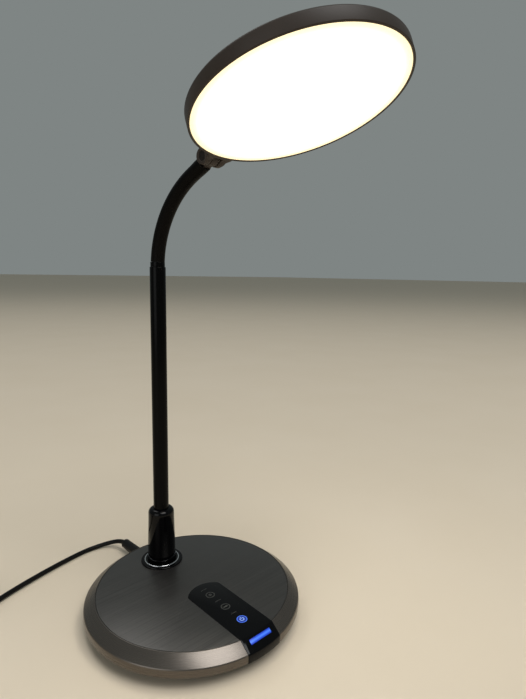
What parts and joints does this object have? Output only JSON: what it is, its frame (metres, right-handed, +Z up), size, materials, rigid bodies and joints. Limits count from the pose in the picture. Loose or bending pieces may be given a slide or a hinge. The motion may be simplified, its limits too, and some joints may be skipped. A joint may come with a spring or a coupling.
{
  "type": "desk lamp",
  "caption": "Desk lamp with a weighted round base, a black touch strip, an upright tube, a bendable neck and a flat round tilting head with a white light panel; its supply cord is plugged in.",
  "frame": {"origin": "centre of the round base on the table", "axes": "+Z up along the stem, -Y towards the user along the touch strip, +X to the user's right"},
  "size_m": [0.3075, 0.354, 0.4298],
  "materials": {
    "foot_rubber": "matt foam pad",
    "black_plastic": "fine matt black",
    "zinc_steel": "zinc plated",
    "weight_steel": "cut plate",
    "grey_shell": "satin gunmetal paint",
    "grey_plate": "brushed, dark anodised",
    "gloss_black": "polished black",
    "blue_light": "lit blue",
    "board_green": "solder resist",
    "foam_black": "conductive foam",
    "led_resin": "moulded resin",
    "ferrite": "pressed ferrite",
    "can_aluminium": "bare metal",
    "contact_brass": "turned",
    "stem_black": "gloss black lacquer",
    "sleeve_black": "steel spiral under a smooth black sleeve",
    "cord_black": "smooth flexible sheath",
    "head_grey": "satin brown-grey",
    "nylon_white": "moulded",
    "clear_acrylic": "clear",
    "opal_white": "opal, lit",
    "plated_contact": "nickel plated"
  },
  "bodies": {
    "base": {"foot_pad": "foot_rubber", "base_pan": "black_plastic", "pan_screws": "zinc_steel", "steel_weight": "weight_steel", "base_shell": "grey_shell", "top_plate": "grey_plate", "touch_strip": "gloss_black", "light_bar": "blue_light", "touch_board": "board_green", "touch_pads": "foam_black", "indicator_leds": "led_resin", "board_screws": "zinc_steel", "driver_board": "board_green", "driver_choke": "ferrite", "driver_capacitor": "can_aluminium", "dc_jack": "black_plastic", "jack_pin": "contact_brass", "trim_ring": "gloss_black", "collar": "gloss_black", "stem_tube": "stem_black", "stem_bush": "zinc_steel", "stem_washer": "zinc_steel", "stem_nut": "zinc_steel", "stem_lead": "cord_black", "neck_root": "stem_black", "dc_plug": "black_plastic", "dc_plug_barrel": "plated_contact", "cord_lead": "cord_black", "cord_coil": "cord_black", "coil_tie": "foam_black", "cord_tail": "cord_black", "far_plug": "black_plastic", "far_plug_shell": "plated_contact", "far_plug_tongue": "nylon_white"},
    "link_1": {"neck_link_1": "sleeve_black"},
    "link_2": {"neck_link_2": "sleeve_black"},
    "link_3": {"neck_link_3": "sleeve_black"},
    "link_4": {"neck_link_4": "sleeve_black"},
    "link_5": {"neck_link_5": "sleeve_black"},
    "link_6": {"neck_link_6": "sleeve_black"},
    "link_7": {"neck_link_7": "sleeve_black"},
    "link_8": {"neck_link_8": "sleeve_black"},
    "link_9": {"neck_link_9": "sleeve_black"},
    "link_10": {"neck_link_10": "sleeve_black"},
    "link_11": {"neck_link_11": "sleeve_black"},
    "link_12": {"neck_link_12": "sleeve_black", "neck_tip": "head_grey"},
    "head": {"head_shell": "head_grey", "tilt_pin": "zinc_steel", "tilt_nut": "zinc_steel", "tilt_washers": "nylon_white", "back_plate": "can_aluminium", "reflector": "nylon_white", "light_guide": "clear_acrylic", "led_strip": "nylon_white", "leds": "led_resin", "diffuser": "opal_white"}
  },
  "joints": [
    {"name": "neck_bend_1", "type": "hinge", "parent": "base", "child": "link_1", "pos_m": [0, 0.0505, 0.298], "axis": [0.9885, 0.1513, 0], "range_deg": [-10.2, 10.2]},
    {"name": "neck_sway_1", "type": "hinge", "parent": "link_1", "child": "link_2", "pos_m": [0.0002, 0.0492, 0.30528], "axis": [0.1489, -0.9729, -0.1771], "range_deg": [-7.5, 7.5]},
    {"name": "neck_bend_2", "type": "hinge", "parent": "link_2", "child": "link_3", "pos_m": [0.0004, 0.04791, 0.31257], "axis": [0.9885, 0.1513, 0], "range_deg": [-10.2, 10.2]},
    {"name": "neck_sway_2", "type": "hinge", "parent": "link_3", "child": "link_4", "pos_m": [0.00079, 0.04536, 0.3195], "axis": [0.1418, -0.9265, -0.3486], "range_deg": [-7.5, 7.5]},
    {"name": "neck_bend_3", "type": "hinge", "parent": "link_4", "child": "link_5", "pos_m": [0.00118, 0.04281, 0.32644], "axis": [0.9885, 0.1513, 0], "range_deg": [-10.2, 10.2]},
    {"name": "neck_sway_3", "type": "hinge", "parent": "link_5", "child": "link_6", "pos_m": [0.00175, 0.03909, 0.33281], "axis": [0.1302, -0.8508, -0.509], "range_deg": [-7.5, 7.5]},
    {"name": "neck_bend_4", "type": "hinge", "parent": "link_6", "child": "link_7", "pos_m": [0.00232, 0.03536, 0.33918], "axis": [0.9885, 0.1513, 0], "range_deg": [-10.2, 10.2]},
    {"name": "neck_sway_4", "type": "hinge", "parent": "link_7", "child": "link_8", "pos_m": [0.00305, 0.03058, 0.34478], "axis": [0.1145, -0.7483, -0.6534], "range_deg": [-7.5, 7.5]},
    {"name": "neck_bend_5", "type": "hinge", "parent": "link_8", "child": "link_9", "pos_m": [0.00378, 0.0258, 0.35038], "axis": [0.9885, 0.1513, 0], "range_deg": [-10.2, 10.2]},
    {"name": "neck_sway_5", "type": "hinge", "parent": "link_9", "child": "link_10", "pos_m": [0.00465, 0.02012, 0.35504], "axis": [0.0952, -0.6221, -0.7771], "range_deg": [-7.5, 7.5]},
    {"name": "neck_bend_6", "type": "hinge", "parent": "link_10", "child": "link_11", "pos_m": [0.00552, 0.01443, 0.35969], "axis": [0.9885, 0.1513, 0], "range_deg": [-10.2, 10.2]},
    {"name": "neck_sway_6", "type": "hinge", "parent": "link_11", "child": "link_12", "pos_m": [0.0065, 0.00802, 0.36326], "axis": [0.0729, -0.4762, -0.8763], "range_deg": [-7.5, 7.5]},
    {"name": "head_tilt", "type": "hinge", "parent": "link_12", "child": "head", "pos_m": [0.00943, -0.01112, 0.37391], "axis": [-0.9885, -0.1513, 0], "range_deg": [-50, 60]}
  ],
  "couplings": [
    {"joint": "neck_bend_2", "follows": "neck_bend_1", "ratio": 1},
    {"joint": "neck_sway_2", "follows": "neck_sway_1", "ratio": 1},
    {"joint": "neck_bend_3", "follows": "neck_bend_1", "ratio": 1},
    {"joint": "neck_sway_3", "follows": "neck_sway_1", "ratio": 1},
    {"joint": "neck_bend_4", "follows": "neck_bend_1", "ratio": 1},
    {"joint": "neck_sway_4", "follows": "neck_sway_1", "ratio": 1},
    {"joint": "neck_bend_5", "follows": "neck_bend_1", "ratio": 1},
    {"joint": "neck_sway_5", "follows": "neck_sway_1", "ratio": 1},
    {"joint": "neck_bend_6", "follows": "neck_bend_1", "ratio": 1},
    {"joint": "neck_sway_6", "follows": "neck_sway_1", "ratio": 1}
  ]
}
